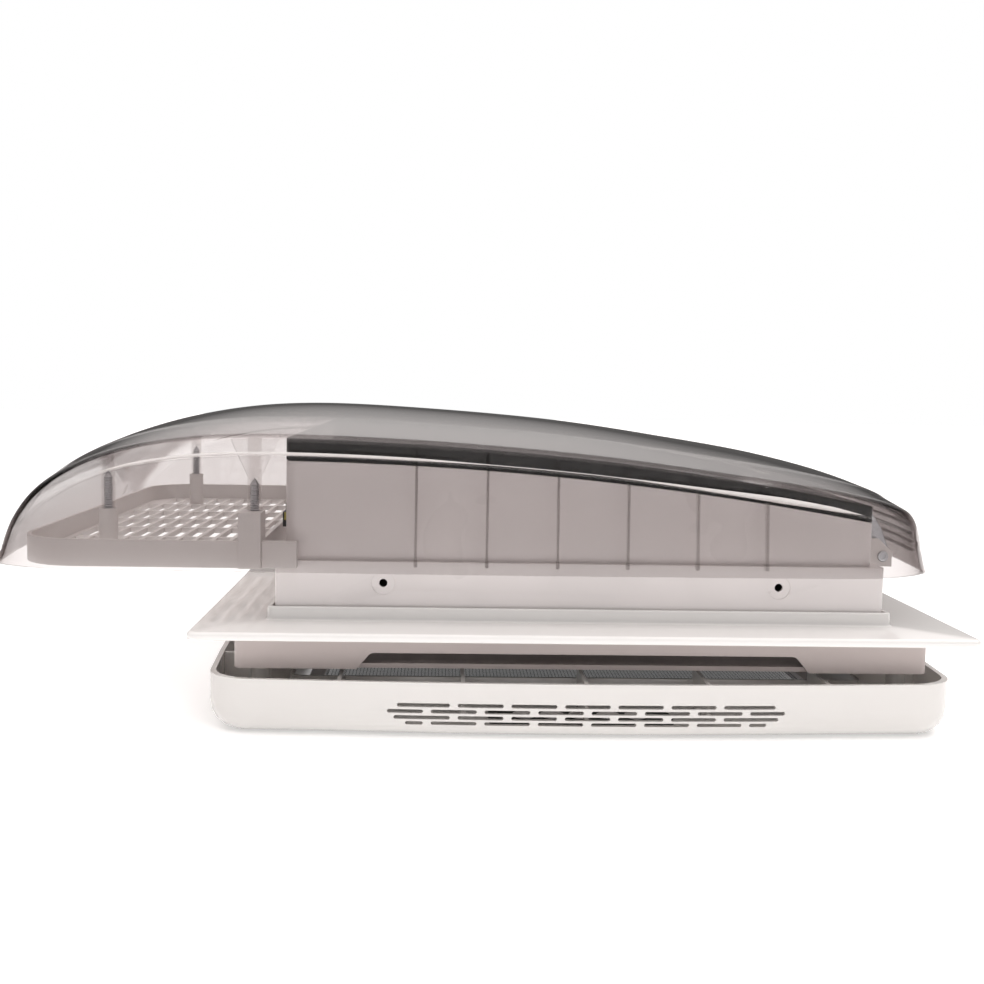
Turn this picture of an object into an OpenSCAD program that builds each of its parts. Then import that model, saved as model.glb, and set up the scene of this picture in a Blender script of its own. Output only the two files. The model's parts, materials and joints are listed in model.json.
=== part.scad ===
/* Powered roof vent for caravans and motorhomes: a smoked wind-shaped lid over a fan housing,
   set in a roof flange, with a frame, a trim and a fly screen on the ceiling side.
   +X runs from the outlet end to the hinge end, +Z is up, and the origin is the centre of the
   roof cut-out on the plane of the roof skin. */

/* [Roof flange] */
// Width and depth of the square flange that lies on the roof
flange_w = 485; // [470:1:500]
// Thickness of the flange plate
flange_t = 5; // [4:0.5:6]
// Outer width of the collar that stands round the fan housing
collar_w = 400; // [398:1:401]
// Height of the collar above the plate
collar_h = 8.5; // [6:0.5:10]
// Width of the downstand that drops into the roof cut-out
downstand_w = 396; // [394:1:397]

/* [Fan housing] */
// Outer width of the lower housing
base_w = 391; // [389:1:391]
// Height of the top of the lower housing
base_top = 42; // [40:1:44]
// Outer width of the upper air box
box_w = 380; // [378:1:381]
// Height of the air box at its high end
box_high = 105; // [103:1:106]
// Radius of the long arc that the air box top follows
box_arc = 2210; // [2100:10:2300]
// Thickness of the moulded walls
wall = 2.5; // [2:0.5:3]

/* [Lid] */
// Height of the lid's lower rim
rim_z = 37; // [36:0.5:38]
// Half width of the lid at its rim
rim_y = 214; // [212:1:216]
// Half width of the lid at its shoulder crease
crease_y = 204; // [202:1:205]
// How far the lid opens, in degrees
lid_open = 25; // [5:1:25]
// Height of the lid's hinge axis
hinge_z = 44; // [43:0.5:45]
// Distance of the hinge axis from the centre
hinge_x = 209; // [208:0.5:210]

/* [Fan] */
// Radius of the round air way
fan_way_r = 165; // [163:1:166]
// Radius over the blade tips
blade_r = 158; // [150:1:160]
// Number of blades
blades = 10; // [6:1:12]
// Radius of the hub cup
hub_r = 46; // [44:1:50]

/* [Lid lift] */
// Length of each lift arm, equal to the distance from the hinge to the lift shaft
arm_l = 175; // [170:1:178]
// Angle of the arms at rest above the horizontal, in degrees
arm_rest = 4.5; // [4:0.5:5]
// Teeth on a full turn of the sector gear
sector_teeth = 48; // [48:1:48]
// Teeth on the motor pinion
pinion_teeth = 18; // [18:1:18]
// Gear module
gear_m = 1.25; // [1.25:0.25:1.25]

/* [Ceiling side] */
// Width of the ceiling frame
skirt_w = 436; // [432:1:440]
// Height of the ceiling frame
skirt_h = 22; // [20:0.5:22]
// Width of the trim across its bowed sides
trim_w = 483; // [480:1:484]
// Height of the trim's rim below the roof skin
trim_top = -25; // [-26:0.5:-24.5]
// Height of the trim's underside
trim_low = -60.5; // [-62:0.5:-60]
// Half width of the opening in the trim
trim_hole = 184.5; // [184:0.5:185]
// Spacing of the four ceiling screws
clamp_s = 180; // [178:1:181]

/* [Hidden] */
$fn = 64;

white = [0.93, 0.92, 0.91];
warm_grey = [0.66, 0.63, 0.62];
smoke = [0.45, 0.41, 0.40, 0.5];
black = [0.09, 0.09, 0.09];
steel = [0.72, 0.72, 0.73];
rubber = [0.12, 0.12, 0.12];

// Lift geometry: hinge, shaft and arm pin make an isosceles triangle, so the shaft turns twice the lid's angle.
shaft_x = hinge_x - arm_l * cos(arm_rest);
shaft_z = hinge_z + arm_l * sin(arm_rest);
pin_x = hinge_x - 2 * arm_l * cos(arm_rest);
pin_z = hinge_z + 2 * arm_l * sin(arm_rest);
gear_gap = gear_m * (sector_teeth + pinion_teeth) / 2;
pinion_x = shaft_x + gear_gap;
arm_y = 176;
track_y = 166;
gear_y = 168;
gear_w = 5;
shaft_r = 4;
pin_r = 2.5;

fit = 0.05;          // running clearance of a shaft in a bore, on the radius
deck_z = 3;          // underside of the fan deck
deck_t = 3;
ledge_in = 182;      // half width of the opening inside the flange's ledge
arc_x = -200;        // where the air box top is level
seal_t = 3;          // from the air box to the inner lid
seal_gap = 0.35;     // from the air box to the gasket
lid_arc = 1990;      // arc of the inner lid's upper rim
lid_high = 119.5;    // its height where it is level
lid_t = 3.5;         // thickness of the inner lid's plate
corner_r = 8;        // corners of the air box and of the inner lid
base_r = 2.5;        // corners of the lower housing
base_hole_x = 127;   // side fixing holes in the lower housing
base_hole_z = 28.4;
base_hole_r = 2.6;
grille_in = -203;    // inner end of the outlet grille
tray_y = 203;        // its half width
tray_pitch = 12.6;   // between the slots in its floor
button_gap = 18;
notch_x = 131;       // centres of the notch's upper corners in the ceiling frame
notch_top = -11.7;
notch_r = 5;
notch_slope = 50;
panel_y = -201;
panel_z = trim_low + 0.5;
screen_z = trim_low + 4.5;
screen_hinge_x = -178;
screen_half = 182;
web_gap = 76;        // between the webs that stiffen the trim

// ---------- shared shapes ----------

module rounded_square(w, d, r) {
    square([w - 2 * r, d], center = true);
    square([w, d - 2 * r], center = true);
    for (x = [-1, 1], y = [-1, 1]) translate([x * (w / 2 - r), y * (d / 2 - r)]) circle(r);
}

module slab(w, d, r, z0, z1) {
    translate([0, 0, z0]) linear_extrude(z1 - z0) rounded_square(w, d, r);
}

module ring_wall(w, t, r, z0, z1) {
    difference() {
        slab(w, w, r, z0, z1);
        slab(w - 2 * t, w - 2 * t, max(r - t, 0.5), z0 - 1, z1 + 1);
    }
}

// A disc or rod whose axis is along Y
module rod_y(r, y0, y1, x = 0, z = 0) {
    translate([x, y0, z]) rotate([-90, 0, 0]) cylinder(r = r, h = y1 - y0);
}

// A plate drawn in the X-Z plane, from y0 to y1
module plate_xz(y0, y1) {
    translate([0, y1, 0]) rotate([90, 0, 0]) linear_extrude(y1 - y0) children();
}

// Everything below the long arc that is level at arc_x and height z
module under_arc(z, arc) {
    translate([arc_x, -300, z - arc]) rotate([-90, 0, 0]) cylinder(r = arc, h = 600, $fn = 200);
}

module at_corners(s) {
    for (x = [-s, s], y = [-s, s]) translate([x, y, 0]) children();
}

// A screw standing on its head's underside at z = 0, pointing up
module screw(shank_r, length, head_r, head_h) {
    translate([0, 0, -head_h]) cylinder(r = head_r, h = head_h);
    translate([0, 0, -0.01]) cylinder(r = shank_r, h = length);
}

// ---------- roof flange ----------

module roof_flange() color(white) difference() {
    union() {
        slab(flange_w, flange_w, 6, 0, flange_t);
        slab(collar_w, collar_w, 5, 0, flange_t + collar_h);
        slab(downstand_w, downstand_w, 5, -11, 0.5);
    }
    slab(collar_w - 6, collar_w - 6, 3, deck_z, 40);
    difference() {
        slab(downstand_w - 5, downstand_w - 5, 3, -19, deck_z + 1);
        difference() {
            slab(398, 398, 8, 0, deck_z);
            slab(2 * ledge_in, 2 * ledge_in, 6, -1, deck_z + 1);
        }
        at_corners(clamp_s) translate([-10, -10, -6]) cube([20, 20, 6 + deck_z]);
    }
    at_corners(clamp_s) translate([0, 0, -20]) cylinder(r = 2.1, h = 60);
    unit_screw_places() translate([0, 0, -20]) cylinder(r = 1.8, h = 60);
}

module unit_screw_places() {
    for (s = [-1, 1], t = [-90, 90]) {
        translate([s * 186, t, 0]) children();
        translate([t, s * 186, 0]) children();
    }
}

module collar_seal() color(rubber) ring_wall(collar_w - 6, (collar_w - 6 - base_w) / 2, 3, 5, 10);

// ---------- fan housing ----------

module base_frame() color(white) difference() {
    union() {
        ring_wall(base_w, 3, base_r, deck_z, base_top);
        difference() {
            slab(base_w - 2, base_w - 2, base_r - 1, deck_z, deck_z + deck_t);
            translate([0, 0, -1]) cylinder(r = fan_way_r, h = 60, $fn = 160);
        }
        difference() {
            translate([0, 0, deck_z]) cylinder(r = fan_way_r + 3, h = 40, $fn = 160);
            translate([0, 0, -1]) cylinder(r = fan_way_r, h = 60, $fn = 160);
        }
        difference() {
            slab(base_w - 2, base_w - 2, base_r - 1, base_top - 3, base_top);
            slab(box_w - 8, box_w - 8, corner_r, 0, 60);
        }
    }
    at_corners(clamp_s) cylinder(r = 3.5, h = 20);
    unit_screw_places() cylinder(r = 2.2, h = 20);
    for (a = [45 : 90 : 315]) rotate(a) translate([175, 0, 0]) cylinder(r = 2, h = 20);
    for (x = [-1, 1], y = [-1, 1]) {
        rod_y(base_hole_r, y * 190 - 8, y * 190 + 8, x * base_hole_x, base_hole_z);
        rod_y(7.5, y * (base_w / 2 + 1) - 1.6, y * (base_w / 2 + 1) + 1.6, x * base_hole_x, base_hole_z);
    }
}

module unit_screws() color(steel)
    unit_screw_places() translate([0, 0, deck_z + deck_t]) mirror([0, 0, 1]) screw(1.75, 10, 3, 2);

module air_box() color(white) intersection() {
    union() {
        ring_wall(box_w, wall, corner_r, base_top, box_high + 5);
        ring_wall(box_w - 2, 4, corner_r - 1, base_top, base_top + 3);
    }
    under_arc(box_high, box_arc);
}

// Hinge bracket: a foot on the air box's front wall and an ear that holds the pin
module hinge_bracket(side) color(white) difference() {
    union() {
        plate_xz(side > 0 ? 149 : -153, side > 0 ? 153 : -149)
            polygon([[193, 43], [193, 56], [206, 56], [215.5, 47], [215.5, 37], [199, 37], [199, 43]]);
        translate([box_w / 2, side * 150 - 18, 43]) cube([3, 36, 14]);
    }
    rod_y(3.01, side * 151 - 10, side * 151 + 10, hinge_x, hinge_z);
}

module hinge_pins() color(steel) for (s = [-1, 1]) {
    rod_y(3, s > 0 ? 142 : -155, s > 0 ? 155 : -142, hinge_x, hinge_z);
    rod_y(4.5, s > 0 ? 153.2 : -155.2, s > 0 ? 155.2 : -153.2, hinge_x, hinge_z);
}

// ---------- fan ----------

module fan_spider() color(black) difference() {
    union() {
        translate([0, 0, -1]) cylinder(r = 40, h = 4);
        for (a = [45 : 90 : 315]) rotate(a) {
            translate([30, -7, -1]) cube([146, 14, 4]);
            translate([176, 0, -1]) cylinder(r = 7, h = 4);
        }
    }
    for (a = [45 : 90 : 315]) rotate(a) translate([175, 0, -2]) cylinder(r = 2.1, h = 8);
    translate([0, 0, -2]) cylinder(r = 6, h = 8);
}

module spider_screws() color(steel)
    for (a = [45 : 90 : 315]) rotate(a) translate([175, 0, -1]) screw(2, 6.5, 4, 2.2);

module fan_motor() color(black) difference() {
    union() {
        translate([0, 0, 3]) cylinder(r = 34, h = 26);
        translate([0, 0, 29]) cylinder(r = 11, h = 4);
    }
    translate([0, 0, 8]) cylinder(r = 4 + fit, h = 40);
}

// Fan moulding: a cup over the motor and pitched blades
module fan_blades() color(black) difference() {
    union() {
        translate([0, 0, 10]) cylinder(r = hub_r, h = 30);
        intersection() {
            translate([0, 0, 13]) cylinder(r = blade_r, h = 25, $fn = 160);
            for (k = [0 : blades - 1]) rotate(360 * k / blades) translate([hub_r - 3, 0, 25.5])
                rotate([32, 0, 0]) translate([0, -24, -1.25]) cube([blade_r, 48, 2.5]);
        }
    }
    translate([0, 0, 9]) cylinder(r = hub_r - 3.5, h = 27.5);
    translate([0, 0, 9]) cylinder(r = 4.01, h = 60);
}

module fan_shaft() color(steel) translate([0, 0, 9]) cylinder(r = 4, h = 37);

module fan_clip() color(steel) difference() {
    translate([0, 0, 40.2]) cylinder(r = 8, h = 2);
    translate([0, 0, 39]) cylinder(r = 4.01, h = 5);
}

// ---------- lid lift ----------

// Involute of the base circle at roll angle t (degrees), and the tooth flank angle at radius r
function involute_angle(rb, r) = let(t = sqrt(max(pow(r / rb, 2) - 1, 0))) t * 180 / PI - atan(t);

function tooth(m, z, backlash) =
    let(rp = m * z / 2, rb = rp * cos(20), ro = rp + m, rf = rp - 1.25 * m,
        half = 90 / z - backlash / rp * 90 / PI,
        rs = [for (k = [0 : 5]) max(rb, rf + 0.01) + (ro - max(rb, rf + 0.01)) * k / 5],
        off = [for (r = rs) half + involute_angle(rb, rp) - involute_angle(rb, r)])
    concat([[rf, -off[0]]], [for (k = [0 : 5]) [rs[k], -off[k]]],
        [for (k = [5 : -1 : 0]) [rs[k], off[k]]], [[rf, off[0]]]);

function gear_points(m, z, first, last, backlash, phase) =
    [for (k = [first : last], p = tooth(m, z, backlash))
        let(a = 360 * k / z + phase + p[1]) [p[0] * cos(a), p[0] * sin(a)]];

module sector_gear() color(white) difference() {
    plate_xz(gear_y, gear_y + gear_w) translate([shaft_x, shaft_z]) {
        polygon(concat([[0, 0]], gear_points(gear_m, sector_teeth, -2, 8, 0.12, 0)));
        circle(9);
    }
    rod_y(shaft_r + 0.01, gear_y - 1, gear_y + gear_w + 1, shaft_x, shaft_z);
}

module lift_pinion() color(white) difference() {
    plate_xz(gear_y - 0.5, gear_y + gear_w + 0.5) translate([pinion_x, shaft_z])
        polygon(gear_points(gear_m, pinion_teeth, 0, pinion_teeth - 1, 0.12, 180 / pinion_teeth));
    rod_y(pin_r + 0.01, gear_y - 2, gear_y + gear_w + 2, pinion_x, shaft_z);
}

module pinion_shaft() color(steel) rod_y(pin_r, 140, gear_y + gear_w + 2, pinion_x, shaft_z);

module lift_motor() color(black) difference() {
    union() {
        rod_y(12.5, 118, 154, pinion_x, shaft_z);
        rod_y(9, 154, 158, pinion_x, shaft_z);
    }
    rod_y(pin_r + fit, 139, 170, pinion_x, shaft_z);
}

module motor_bracket() color(steel) difference() {
    union() {
        translate([pinion_x - 12, 158, deck_z + deck_t]) cube([27, 2.5, 66]);
        translate([pinion_x - 12, 158, deck_z + deck_t]) cube([27, 22, 2.5]);
    }
    rod_y(5, 150, 170, pinion_x, shaft_z);
    translate([pinion_x + 1.5, 171, 0]) cylinder(r = 2.2, h = 20);
}

module lift_shaft() color(steel) rod_y(shaft_r, -187, 187, shaft_x, shaft_z);

module shaft_bearings() color(white) for (s = [-1, 1]) difference() {
    translate([shaft_x - 9, s > 0 ? 181 : -187.5, shaft_z - 12]) cube([18, 6.5, 21]);
    rod_y(shaft_r + fit, s * 184 - 10, s * 184 + 10, shaft_x, shaft_z);
}

module lift_arm(y0) color(steel) difference() {
    plate_xz(y0, y0 + 3) {
        translate([shaft_x, shaft_z]) rotate(180 - arm_rest) translate([0, -6]) square([arm_l, 12]);
        translate([shaft_x, shaft_z]) circle(9);
        translate([pin_x, pin_z]) circle(6);
    }
    rod_y(shaft_r + 0.01, y0 - 1, y0 + 4, shaft_x, shaft_z);
    rod_y(pin_r + 0.01, y0 - 1, y0 + 4, pin_x, pin_z);
}

module arm_sliders() color(black) for (s = [-1, 1]) {
    rod_y(pin_r, s > 0 ? 165 : -arm_y - 3, s > 0 ? arm_y + 3 : -165, pin_x, pin_z);
    rod_y(5, s > 0 ? 165.5 : -171, s > 0 ? 171 : -165.5, pin_x, pin_z);
}

// Slotted plate under the inner lid: the slot lies on a line through the hinge axis
module lift_track(side) color(white) intersection() {
    plate_xz(side > 0 ? track_y : -track_y - 4, side > 0 ? track_y + 4 : -track_y) difference() {
        polygon([[-158, 130], [-92, 130], [-92, 72], [-100, 60], [-152, 62], [-158, 70]]);
        translate([hinge_x, hinge_z]) rotate(180 - arm_rest) {
            translate([2 * arm_l * cos(lid_open) - 3, -5.2]) square([2 * arm_l * (1 - cos(lid_open)) + 6, 10.4]);
            for (d = [2 * arm_l * cos(lid_open) - 3, 2 * arm_l + 3]) translate([d, 0]) circle(5.2);
        }
    }
    under_arc(lid_high - lid_t, lid_arc - lid_t);
}

module lid_switch() color(black) difference() {
    union() {
        translate([-197.5, -140, 57]) cube([7.5, 20, 10]);
        translate([-196, -136, 67]) cube([5, 10, 6]);
    }
    translate([-200, -137, 62]) rotate([0, 90, 0]) cylinder(r = 1.2, h = 20);
}

// ---------- lid ----------

// Shoulder crease and centre line of the lid, from the outlet end to the hinge end
side_line = [[-375, 38], [-362, 66], [-339, 90], [-301, 109.3], [-250, 119.5], [-190, 122], [-100, 119.5],
    [0, 112.5], [90, 102], [160, 92], [203, 82], [222, 69], [232, 38]];
mid_line = [[-386, 37], [-379, 62], [-355, 92], [-311, 117], [-255, 132], [-190, 137.5], [-100, 134.5],
    [0, 127], [90, 115], [160, 103.5], [209, 90], [231, 72], [239, 37]];
lid_mid_x = -75;
end_from = 240;      // where the rounding of the lid's ends begins
end_long = 70;       // its length along X and its depth along Y
end_deep = 50;
stations = 36;
across = 16;
bevel = 0.26;        // share of the half width that the shoulder bevel takes
bevel_rise = 0.55;   // share of the crown that it rises

function spline(p, u) =
    let(n = len(p) - 1, i = min(floor(u), n - 1), t = u - i,
        a = p[max(i - 1, 0)], b = p[i], c = p[i + 1], d = p[min(i + 2, n)])
    0.5 * (2 * b + (c - a) * t + (2 * a - 5 * b + 4 * c - d) * t * t + (3 * b - a - 3 * c + d) * t * t * t);

// How far the lid's side has come in from its widest, at distance e from the middle: a slight bow,
// then a quarter of an ellipse round each end
function come_in(e) = 5 * pow(e / 290, 2)
    + end_deep * (1 - sqrt(max(1 - pow(max(e - end_from, 0) / end_long, 2), 0)));

// Height share between crease and centre line at share v across the half width (0 at the crease)
function crown(v) = v < bevel ? bevel_rise * v / bevel
    : bevel_rise + (1 - bevel_rise) * (1 - pow((1 - v) / (1 - bevel), 2));

function cross_section(u) =
    let(s = spline(side_line, u), m = spline(mid_line, u), in = come_in(abs(s[0] - lid_mid_x)),
        yc = crease_y - in, yr = rim_y - in, drop = min(13, (s[1] - rim_z) * 0.45),
        left = [[s[0], -yr, rim_z], [s[0], -yc - 5, s[1] - drop]],
        top = [for (j = [0 : across]) let(w = 2 * j / across - 1, g = crown(1 - abs(w)))
            [s[0] + (m[0] - s[0]) * g, w * yc, s[1] + (m[1] - s[1]) * g]],
        right = [[s[0], yc + 5, s[1] - drop], [s[0], yr, rim_z]])
    concat(left, top, right);

function quad(a, b, c, d) = [[a, b, c], [a, c, d]];

module dome() color(smoke) {
    rows = stations + 1;
    cols = across + 5;
    outer = [for (i = [0 : stations]) each cross_section(12 * i / stations)];
    inner = [for (p = outer) [lid_mid_x + (p[0] - lid_mid_x) * 0.99, p[1] * 0.986, rim_z + (p[2] - rim_z) * 0.968]];
    n = rows * cols;
    polyhedron(concat(outer, inner), concat(
        [for (i = [0 : rows - 2], j = [0 : cols - 2]) let(a = i * cols + j)
            each quad(a, a + 1, a + cols + 1, a + cols)],
        [for (i = [0 : rows - 2], j = [0 : cols - 2]) let(a = n + i * cols + j)
            each quad(a, a + cols, a + cols + 1, a + 1)],
        [for (i = [0 : rows - 2]) let(a = i * cols) each quad(a, a + cols, n + a + cols, n + a)],
        [for (i = [0 : rows - 2]) let(a = i * cols + cols - 1) each quad(a, n + a, n + a + cols, a + cols)],
        [for (j = [0 : cols - 2]) each quad(j, n + j, n + j + 1, j + 1)],
        [for (j = [0 : cols - 2]) let(a = (rows - 1) * cols + j) each quad(a, a + 1, n + a + 1, n + a)]),
        convexity = 8);
}

module inner_lid() color(black) difference() {
    intersection() {
        slab(box_w, box_w, corner_r, 50, 130);
        under_arc(lid_high, lid_arc);
    }
    under_arc(box_high + seal_t, box_arc + seal_t);
    intersection() {
        slab(box_w - 16, box_w - 16, corner_r - wall, 40, 140);
        under_arc(lid_high - lid_t, lid_arc - lid_t);
    }
}

module lid_gasket() color(rubber) difference() {
    intersection() {
        ring_wall(box_w, 8, corner_r, 50, 130);
        under_arc(box_high + seal_t, box_arc + seal_t);
    }
    under_arc(box_high + seal_gap, box_arc + seal_gap);
}

module hinge_arms() color(black) for (s = [-1, 1]) difference() {
    plate_xz(s > 0 ? 144 : -148, s > 0 ? 148 : -144) {
        polygon([[190, 76.5], [190, 80], [199, 77.5], [209, 63], [214, 50], [hinge_x + 5, hinge_z],
            [hinge_x - 5, hinge_z], [199, 57], [192.5, 74]]);
        translate([hinge_x, hinge_z]) circle(6);
    }
    rod_y(3 + fit, s * 146 - 10, s * 146 + 10, hinge_x, hinge_z);
}

// Plan of the tray, taken in by some distance, from z0 to z1
module tray_plan(in, z0, z1) intersection() {
    translate([-358 + in, -tray_y + in, z0]) cube([358 + grille_in - 2 * in, 2 * (tray_y - in), z1 - z0]);
    union() {
        translate([-318, 0, 0]) slab(80 - 2 * in, 2 * (tray_y - in), 39 - in, z0, z1);
        translate([-319, -tray_y, z0]) cube([130, 2 * tray_y, z1 - z0]);
    }
}

// Tray under the lid's overhang: a low wall round a floor of slots that let the air down
module outlet_grille() color(white) difference() {
    tray_plan(0, rim_z + 1, rim_z + 18);
    tray_plan(3, rim_z + 5, rim_z + 30);
    difference() {
        for (i = [0 : 10], j = [0 : 6]) if (i > 0 || (j > 0 && j < 6))
            translate([-351 + tray_pitch * i, -195.5 + 56.2 * j, rim_z]) cube([tray_pitch - 2.8, 53, 30]);
        for (s = [-1, 1]) translate([-311, s * 150, 0]) cylinder(r = 7, h = 100);
    }
    for (s = [-1, 1]) column_box(s);
    grille_screw_places() translate([0, 0, -20]) cylinder(r = 4.2, h = 30);
}

// Square column by the tray's inner end
module column_box(s) translate([grille_in - 14, s > 0 ? 184 : -206, rim_z + 1]) cube([14, 22, 35]);

// Tabs that carry the tray's sides forward past the air box
module grille_tabs() color(white)
    for (s = [-1, 1]) translate([grille_in, s > 0 ? tray_y - 6 : -tray_y, rim_z + 1]) cube([22, 6, 17]);

module grille_columns() color(white) difference() {
    for (s = [-1, 1]) {
        column_box(s);
        translate([-311, s * 150, rim_z + 5]) cylinder(r = 6, h = 27);
    }
    grille_screw_places() {
        cylinder(r = 2, h = 40);
        translate([0, 0, -20]) cylinder(r = 4.2, h = 20);
    }
}

module grille_screw_places() for (s = [-1, 1]) {
    translate([-209, s * 190, rim_z + 8]) children();
    translate([-311, s * 150, rim_z + 8]) children();
}

// Bosses under the lid with their gussets
module dome_posts() color(smoke) difference() {
    for (s = [-1, 1]) {
        translate([-209, s * 190, 73]) cylinder(r = 4.5, h = 46);
        plate_xz(s * 190 - 1, s * 190 + 1) polygon([[-224, 118], [-209, 85], [-194, 118.5]]);
        translate([-311, s * 150, 69]) cylinder(r = 4.5, h = 36.5);
        translate([-110, s * 120, 117.75]) cylinder(r = 5, h = 9);
        translate([60, s * 120, 103.1]) cylinder(r = 5, h = 8.3);
    }
    grille_screw_places() cylinder(r = 2, h = 50);
}

module grille_screws() color(steel) for (s = [-1, 1]) {
    translate([-209, s * 190, rim_z + 8]) screw(2, 49, 4, 2);
    translate([-311, s * 150, rim_z + 8]) screw(2, 43, 4, 2);
}

// ---------- ceiling side ----------

module ceiling_frame() color(warm_grey) difference() {
    union() {
        ring_wall(skirt_w, 3, 6, -skirt_h, 0);
        difference() {
            slab(skirt_w - 2, skirt_w - 2, 5, -skirt_h, -skirt_h + 3);
            slab(2 * trim_hole, 2 * trim_hole, 6, -40, 0);
        }
        at_corners(clamp_s) translate([-10, -10, -skirt_h]) cube([20, 20, 3]);
    }
    at_corners(clamp_s) translate([0, 0, -40]) cylinder(r = 2.1, h = 60);
    at_corners(203) translate([0, 0, -40]) cylinder(r = 1.6, h = 60);
    for (y = [-214, 240]) plate_xz(y - 26, y) frame_notch();
}

// Cut-out in the frame's near and far walls: a flat top, sloped ends and round upper corners
module frame_notch() {
    centre = [notch_x, notch_top - notch_r];
    touch = centre + notch_r * [sin(notch_slope), cos(notch_slope)];
    foot = touch + 14 * [cos(notch_slope), -sin(notch_slope)];
    right = [centre + [0, notch_r], touch, foot];
    polygon(concat(right, [for (k = [2 : -1 : 0]) [-right[k][0], right[k][1]]]));
    for (s = [-1, 1]) translate([s * centre[0], centre[1]]) circle(notch_r);
}

module clamp_screws() color(steel) at_corners(clamp_s) translate([0, 0, -skirt_h]) screw(2.1, 24.5, 4.5, 2.5);

// Points of the trim's outline: bowed sides of half width w at the middle and corners of radius r
bow = 8;
function trim_outline(w, r, z) = let(c = w - bow - r)
    [for (q = [0 : 3], k = [0 : 13])
        let(t = k < 8 ? k / 4 - 1 : 1, a = k < 8 ? 0 : 6 + 78 * (k - 8) / 5,
            x = k < 8 ? w - bow * t * t : c + r * cos(a), y = k < 8 ? c * t : c + r * sin(a))
        [x * cos(90 * q) - y * sin(90 * q), x * sin(90 * q) + y * cos(90 * q), z]];

module trim_loft(w, top, low, edge) {
    ring = [for (z = [top, low + edge]) trim_outline(w, 26, z),
        for (k = [1 : 5]) let(a = 18 * k) trim_outline(w - edge * (1 - cos(a)), 26 - edge * (1 - cos(a)),
            low + edge * (1 - sin(a)))];
    pts = [for (r = ring) each r];
    n = 56;
    levels = 7;
    polyhedron(pts, concat([[for (i = [n - 1 : -1 : 0]) i]],
        [for (l = [0 : levels - 2], i = [0 : n - 1]) let(a = l * n + i, b = l * n + (i + 1) % n)
            each [[a, b + n, a + n], [a, b, b + n]]],
        [[for (i = [0 : n - 1]) (levels - 1) * n + i]]), convexity = 4);
}

// Where web k starts inside the trim's bowed wall
function web_from(k) = 2.4 - trim_w / 2 + bow * pow(k * web_gap / (trim_w / 2 - bow - 26), 2);

// Rows of round-ended slots in one side of the trim: the bars between them are staggered from row
// to row, and each row runs out to its own end
slot_rows = [116, 122, 118, 111];
slot_pitch = 32.6;
slot_bar = 4.8;
slot_r = 1.2;
module trim_slots() {
    for (row = [0 : 3]) {
        half = (row % 2) / 2;
        first = row % 2 == 0 ? -3 : -4;
        for (k = [first : 3]) {
            lo = k == first ? -slot_rows[row] : (k + half - 0.5) * slot_pitch + slot_bar / 2;
            hi = k == 3 ? slot_rows[row] : (k + half + 0.5) * slot_pitch - slot_bar / 2;
            translate([0, -38.8 - 3.85 * row]) {
                translate([lo + slot_r, -slot_r]) square([hi - lo - 2 * slot_r, 2 * slot_r]);
                for (x = [lo + slot_r, hi - slot_r]) translate([x, 0]) circle(slot_r);
            }
        }
    }
}

module trim() color(white) difference() {
    union() {
        difference() {
            trim_loft(trim_w / 2, trim_top, trim_low, 18);
            trim_loft(trim_w / 2 - 3, trim_top + 1, trim_low + 3, 16);
        }
        ring_wall(2 * trim_hole + 5, 2.5, 8, trim_low, -34);
        at_corners(203) translate([0, 0, trim_low + 1]) cylinder(r = 6, h = -skirt_h - trim_low - 1);
        for (q = [0 : 3], k = [-2 : 2]) rotate(90 * q)
            translate([k * web_gap - 1.25, web_from(k), trim_top - 25])
                cube([2.5, -web_from(k) - trim_hole - 1, 23.5]);
    }
    slab(2 * trim_hole, 2 * trim_hole, 6, -70, 0);
    at_corners(203) {
        translate([0, 0, -70]) cylinder(r = 1.6, h = 60);
        translate([0, 0, -70]) cylinder(r = 4, h = 70 + trim_low + 3);
    }
    translate([0, panel_y, 0]) slab(112, 24, 5, -70, panel_z + 4);
    for (q = [0 : 3]) rotate(90 * q) plate_xz(-245, -232) trim_slots();
    for (s = [-1, 1]) rod_y(2.01, s * 184 - 5, s * 184 + 5, screen_hinge_x, screen_z);
}

module trim_screws() color(steel) at_corners(203) translate([0, 0, trim_low + 3]) screw(1.6, 36, 3.2, 1.5);

module control_panel() color(black) difference() {
    union() {
        translate([0, panel_y, 0]) slab(112, 24, 5, panel_z, panel_z + 4.5);
        translate([0, panel_y, 0]) slab(118, 27, 5, panel_z + 2.5, panel_z + 4.5);
    }
    for (k = [-2 : 2]) translate([k * button_gap, panel_y, -70]) cylinder(r = 6.3, h = 40);
    translate([50, panel_y, -70]) cylinder(r = 3.01, h = 40);
}

module infrared_window() color([0.15, 0.05, 0.06]) translate([50, panel_y, panel_z - 0.2]) cylinder(r = 3, h = 4.7);

module button(k) color(white) translate([k * button_gap, panel_y, 0]) {
    translate([0, 0, panel_z - 0.4]) cylinder(r = 6, h = 6);
    translate([0, 0, panel_z + 4.9]) cylinder(r = 7.4, h = 1.2);
}

module screen_pins() color(steel) for (s = [-1, 1])
    rod_y(2, s > 0 ? 172 : -187, s > 0 ? 187 : -172, screen_hinge_x, screen_z);

module screen_frame() color(white) difference() {
    slab(2 * screen_half, 2 * screen_half, 5, screen_z - 3.5, screen_z + 3.5);
    slab(2 * screen_half - 20, 2 * screen_half - 20, 3, -70, 0);
    translate([186, 0, screen_z - 6]) cylinder(r = 12, h = 4.5);
    for (s = [-1, 1]) rod_y(2 + fit, s * 177 - 6, s * 177 + 6, screen_hinge_x, screen_z);
}

module screen_mesh() color([0.25, 0.25, 0.25])
    slab(2 * screen_half - 20, 2 * screen_half - 20, 3, screen_z - 0.3, screen_z + 0.3);

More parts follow.
